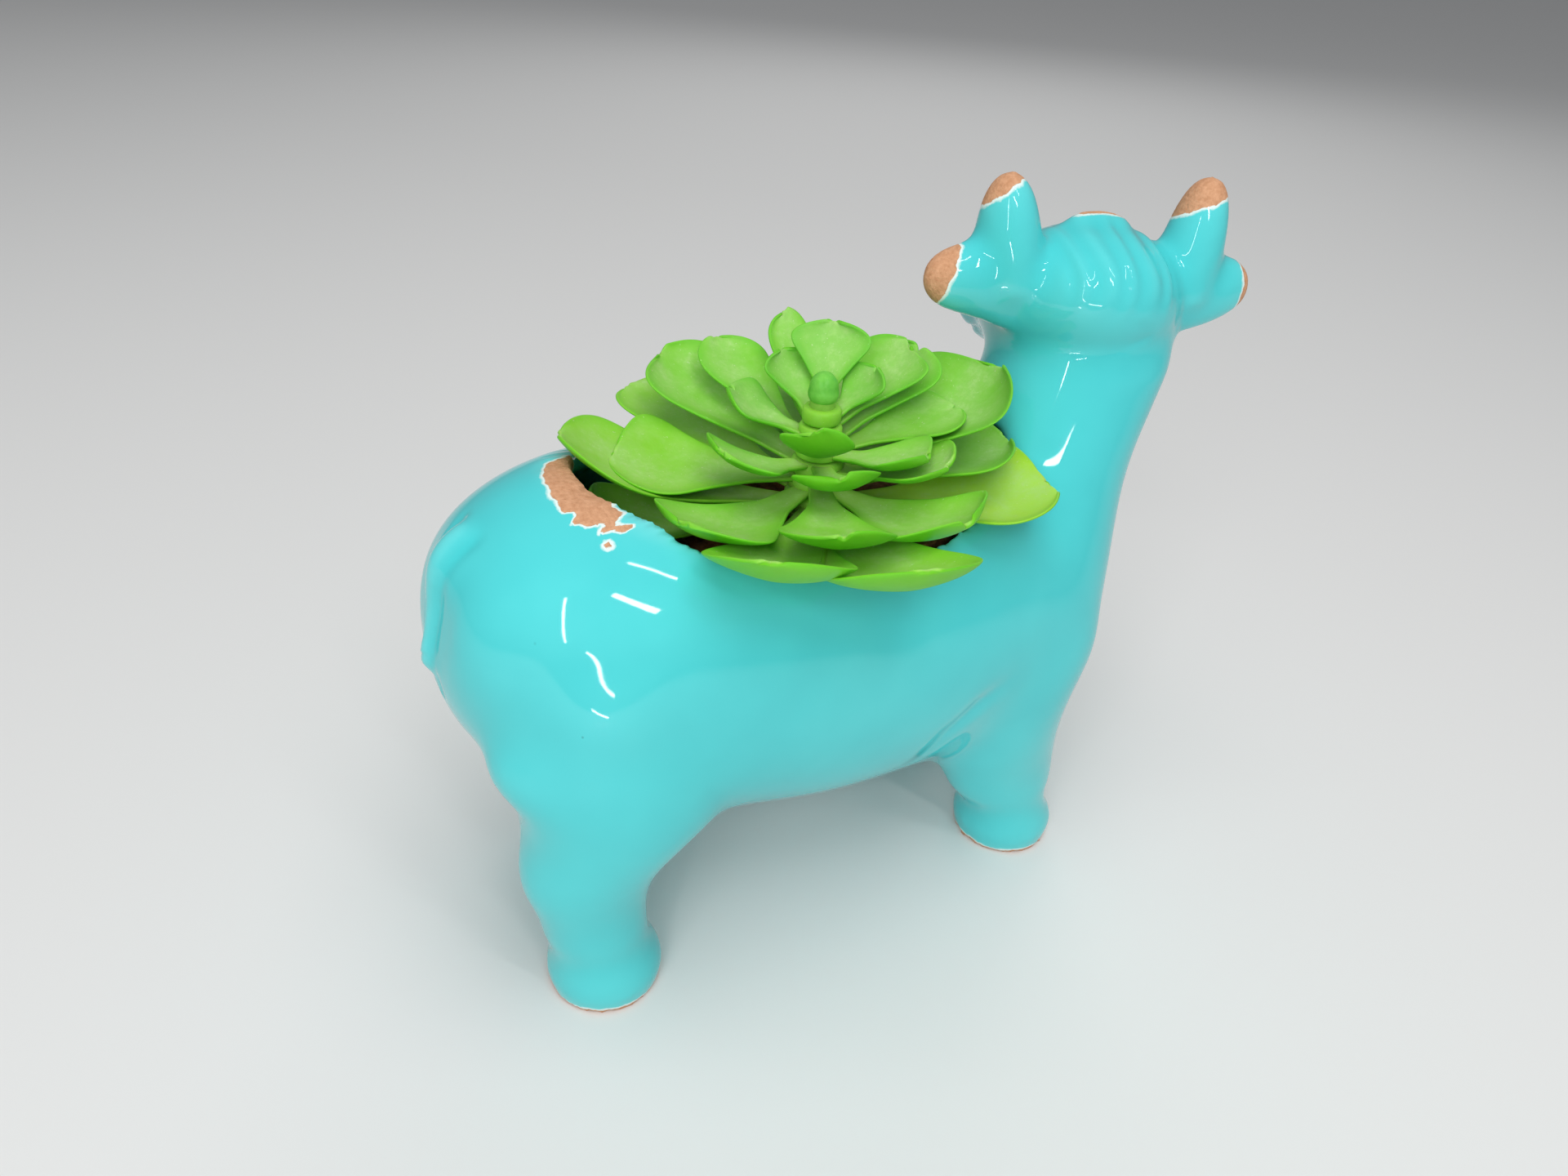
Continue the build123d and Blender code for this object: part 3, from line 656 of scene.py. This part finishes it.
def add_leaf(bm, layers, rng, root, height, spec, tone):
    sheet, along, across = leaf_sheet(rng, root, height, *spec)
    du = np.gradient(sheet, axis=0)
    dv = np.gradient(sheet, axis=1)
    normal = np.cross(du, dv)
    normal /= np.linalg.norm(normal, axis=2)[..., None] + 1e-9
    thick = (1.45 - 0.75 * np.abs(across)[None, :] ** 2) * (1.0 - 0.25 * along[:, None])
    sides = []
    for direction in (0.5, -0.5):
        rows = []
        for i in range(len(along)):
            row = []
            for j in range(len(across)):
                v = bm.verts.new(to_frame(sheet[i, j] + normal[i, j] * direction * thick[i, j]))
                v[layers["along"]] = along[i]
                v[layers["across"]] = abs(across[j])
                v[layers["upper"]] = 1.0 if direction > 0 else 0.0
                v[layers["tone"]] = tone
                row.append(v)
            rows.append(row)
        sides.append(rows)
    upper, lower = sides
    last_i, last_j = len(along) - 1, len(across) - 1
    for i in range(last_i):
        for j in range(last_j):
            bm.faces.new((upper[i][j], upper[i + 1][j], upper[i + 1][j + 1], upper[i][j + 1]))
            bm.faces.new((lower[i][j], lower[i][j + 1], lower[i + 1][j + 1], lower[i + 1][j]))
        bm.faces.new((upper[i][0], lower[i][0], lower[i + 1][0], upper[i + 1][0]))
        bm.faces.new((upper[i][last_j], upper[i + 1][last_j], lower[i + 1][last_j], lower[i][last_j]))
    for j in range(last_j):
        bm.faces.new((upper[0][j], upper[0][j + 1], lower[0][j + 1], lower[0][j]))
        bm.faces.new((upper[last_i][j], lower[last_i][j], lower[last_i][j + 1], upper[last_i][j + 1]))
    add_point(bm, layers, sheet, normal, tone)


def add_point(bm, layers, sheet, normal, tone):
    """The small spike in the notch at a leaf's end."""
    middle = sheet.shape[1] // 2
    end, before = sheet[-1, middle], sheet[-3, middle]
    way = (end - before) / np.linalg.norm(end - before)
    out = normal[-1, middle]
    across = np.cross(out, way)
    across /= np.linalg.norm(across)
    corners = ((-1, 0), (0, 1), (1, 0), (0, -1))
    base = [end - way * 1.2 + across * s * 0.7 + out * h * 0.4 for s, h in corners]
    tip = bm.verts.new(to_frame(end + way * 1.3 + out * 0.2))
    ring = [bm.verts.new(to_frame(p)) for p in base]
    for v in (tip, *ring):
        v[layers["along"]] = 1.0
        v[layers["across"]] = 0.9
        v[layers["upper"]] = 0.5
        v[layers["tone"]] = tone
    for k in range(4):
        bm.faces.new((ring[k], ring[(k + 1) % 4], tip))


def leaf_material():
    material, nodes, links, shader = new_material("leaf_plastic")
    along, across = attribute_node(nodes, "along"), attribute_node(nodes, "across")
    upper, tone = attribute_node(nodes, "upper"), attribute_node(nodes, "tone")
    cloud = noise_node(nodes, links, 90.0, 3.0, 0.6)
    greens = [(0.0, (0.25, 0.61, 0.022)), (0.5, (0.20, 0.58, 0.03)), (1.0, (0.17, 0.53, 0.05))]
    green = color_ramp(nodes, links, tone, greens)
    yellow = math_node(nodes, links, "LESS_THAN", tone, -0.5)
    green = mix_color(nodes, links, yellow, green, (0.40, 0.68, 0.03))
    deep = mix_color(nodes, links, 0.5, green, (0.05, 0.40, 0.02))
    rim = color_ramp(nodes, links, across, [(0.72, (0, 0, 0)), (1.0, (0.55,) * 3)])
    color = mix_color(nodes, links, rim, green, deep)
    root = color_ramp(nodes, links, along, [(0.05, (1, 1, 1)), (0.4, (0, 0, 0))])
    root = math_node(nodes, links, "MULTIPLY", root, 0.45)
    color = mix_color(nodes, links, root, color, (0.36, 0.52, 0.10))
    frost = color_ramp(nodes, links, cloud, [(0.32, (0.15,) * 3), (0.66, (0.9,) * 3)])
    dust = noise_node(nodes, links, 700.0, 4.0, 0.7)
    dust = color_ramp(nodes, links, dust, [(0.45, (0.55,) * 3), (0.7, (1, 1, 1))])
    frost = math_node(nodes, links, "MULTIPLY", frost, dust)
    inner = color_ramp(nodes, links, across, [(0.45, (1, 1, 1)), (0.95, (0.15,) * 3)])
    frost = math_node(nodes, links, "MULTIPLY", math_node(nodes, links, "MULTIPLY", frost, inner), upper)
    color = mix_color(nodes, links, frost, color, (0.44, 0.68, 0.24))
    fleck = noise_node(nodes, links, 1600.0, 2.0, 0.5)
    fleck = color_ramp(nodes, links, fleck, [(0.69, (0, 0, 0)), (0.75, (0.6,) * 3)])
    fleck = math_node(nodes, links, "MULTIPLY", fleck, upper)
    color = mix_color(nodes, links, fleck, color, (0.62, 0.70, 0.45))
    below = color_ramp(nodes, links, upper, [(0.2, (0.8,) * 3), (0.6, (0, 0, 0))])
    color = mix_color(nodes, links, below, color, (0.13, 0.50, 0.012))
    links.new(color, shader.inputs["Base Color"])
    rough = color_ramp(nodes, links, cloud, [(0.3, (0.42,) * 3), (0.7, (0.6,) * 3)])
    links.new(rough, shader.inputs["Roughness"])
    shader.inputs["Subsurface Weight"].default_value = 0.35
    shader.inputs["Subsurface Radius"].default_value = (0.4, 1.0, 0.15)
    shader.inputs["Subsurface Scale"].default_value = 0.002
    grain = noise_node(nodes, links, 1200.0, 3.0, 0.6)
    links.new(bump_node(nodes, links, grain, 0.12, 0.0003), shader.inputs["Normal"])
    return material


def make_plant():
    material = leaf_material()
    for number, leaves in enumerate(WHORLS):
        rng = np.random.default_rng(LEAF_SEED + number)
        bottom = FOAM_TOP + FLANGE_HEIGHT + number * COLLAR_HEIGHT
        radius = COLLAR_RADIUS - number * COLLAR_STEP
        bm = bmesh.new()
        layers = {key: bm.verts.layers.float.new(key) for key in ("along", "across", "upper", "tone")}
        for seat, *spec in leaves:
            tone = min(1.0, 0.12 * number + rng.uniform(0, 0.3))
            if spec == YELLOW_LEAF:
                tone = -1.0
            add_leaf(bm, layers, rng, radius - LEAF_ROOT, bottom + seat, spec, tone)
        add_collar(bm, layers, radius, bottom + 0.05, bottom + COLLAR_HEIGHT - 0.05)
        bmesh.ops.recalc_face_normals(bm, faces=bm.faces)
        name = f"leaves_{number + 1}"
        mesh = bpy.data.meshes.new(name)
        bm.to_mesh(mesh)
        bm.free()
        mesh.polygons.foreach_set("use_smooth", np.ones(len(mesh.polygons), bool))
        mesh.materials.append(material)
        piece = bpy.data.objects.new(name, mesh)
        scene.collection.objects.link(piece)
        smoother = piece.modifiers.new("smooth", "SUBSURF")
        smoother.levels = smoother.render_levels = 1
        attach(piece, "plant")
        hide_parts(f"leaf_whorl_{number + 1}")


def add_collar(bm, layers, radius, low, high):
    """The moulded ring that a whorl's leaves grow from."""
    rings = []
    for height, share in ((low, 0.86), (low + 0.4, 1.0), (high - 0.4, 1.0), (high, 0.86)):
        ring = []
        for k in range(COLLAR_SIDES):
            a = 2 * math.pi * k / COLLAR_SIDES
            x, y = STEM[0] + radius * share * math.cos(a), STEM[1] + radius * share * math.sin(a)
            v = bm.verts.new(to_frame((x, y, height)))
            v[layers["along"]] = 0.3
            v[layers["upper"]] = 0.5
            v[layers["tone"]] = 0.1
            ring.append(v)
        rings.append(ring)
    for low_ring, high_ring in zip(rings, rings[1:]):
        for k in range(COLLAR_SIDES):
            after = (k + 1) % COLLAR_SIDES
            bm.faces.new((low_ring[k], low_ring[after], high_ring[after], high_ring[k]))
    bm.faces.new(rings[-1])
    bm.faces.new(rings[0][::-1])


# Bud, stem, wire and foam
def plain_material(name, stops, scale, roughness, metallic=0.0, bump=0.2):
    material, nodes, links, shader = new_material(name)
    cloud = noise_node(nodes, links, scale, 4.0, 0.6)
    links.new(color_ramp(nodes, links, cloud, stops), shader.inputs["Base Color"])
    shader.inputs["Roughness"].default_value = roughness
    shader.inputs["Metallic"].default_value = metallic
    grain = noise_node(nodes, links, 3 * scale, 3.0, 0.6)
    links.new(bump_node(nodes, links, grain, bump, 0.0005), shader.inputs["Normal"])
    return material


def dress_node(node, material):
    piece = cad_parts[node]
    piece.data.materials.clear()
    piece.data.materials.append(material)


def make_bud():
    """A small round bud with slits where its leaves close over each other."""
    bm = bmesh.new()
    bmesh.ops.create_uvsphere(bm, u_segments=48, v_segments=24, radius=1.0)
    low, high = bud_low.z / MM, bud_high.z / MM
    for v in bm.verts:
        x, y, z = v.co
        slit = math.cos(3 * math.atan2(y, x) + 1.2 * z) if abs(z) < 0.999 else 0.0
        radius = BUD_RADIUS * (1 - 0.1 * max(0.0, slit) ** 12 * min(1.0, max(0.0, z + 0.3)))
        radius *= 1 + 0.4 * max(0.0, -z)
        height = low + (high - low) * (z + 1) / 2
        v.co = to_frame((STEM[0] + x * radius, STEM[1] + y * radius, height))
    mesh = bpy.data.meshes.new("bud")
    bm.to_mesh(mesh)
    bm.free()
    mesh.polygons.foreach_set("use_smooth", np.ones(len(mesh.polygons), bool))
    stops = [(0.3, (0.10, 0.46, 0.04)), (0.7, (0.20, 0.60, 0.08))]
    mesh.materials.append(plain_material("bud_plastic", stops, 300, 0.4))
    piece = bpy.data.objects.new("bud", mesh)
    scene.collection.objects.link(piece)
    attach(piece, "plant")
    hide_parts("crown_bud")


def make_foam():
    """The foam with a coarse, open-celled skin."""
    copy = bpy.data.objects.new("foam_source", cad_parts["foam_block"].data.copy())
    mesh = voxel_mesh(copy, FOAM_VOXEL, "foam_crumb")
    skin = Skin(mesh)
    rng = np.random.default_rng(FOAM_SEED)
    lift = rng.normal(0, 1, len(skin.co))
    for _ in range(2):
        lift = smooth_values(skin, lift)
    on_stem = np.hypot(skin.co[:, 0] - STEM[0], skin.co[:, 1] - STEM[1]) < 8
    skin.co += (np.where(on_stem, 0, np.clip(1.3 * lift - 0.3, -1.2, 0.0)))[:, None] * skin.normals()
    skin.store(mesh)
    stops = [(0.3, (0.07, 0.026, 0.009)), (0.7, (0.30, 0.125, 0.045))]
    mesh.materials.append(plain_material("foam", stops, 450, 0.95, bump=0.9))
    piece = bpy.data.objects.new("foam_crumb", mesh)
    scene.collection.objects.link(piece)
    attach(piece, "planter")
    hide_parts("foam_block")


make_camera()
make_studio()
make_shell()
make_plant()
make_bud()
make_foam()
# CAD nodes that keep their shape: node, material, colours, grain scale, roughness, metal
PLAIN = (
    ("stem_sleeve", "stem_plastic", [(0.3, (0.20, 0.48, 0.05)), (0.7, (0.30, 0.58, 0.09))], 300, 0.5, 0.0),
    ("stem_wire", "wire_steel", [(0.3, (0.45, 0.45, 0.45)), (0.7, (0.6, 0.6, 0.6))], 500, 0.4, 1.0),
)
for node, *look in PLAIN:
    dress_node(node, plain_material(*look))

scene.view_settings.view_transform = "Standard"
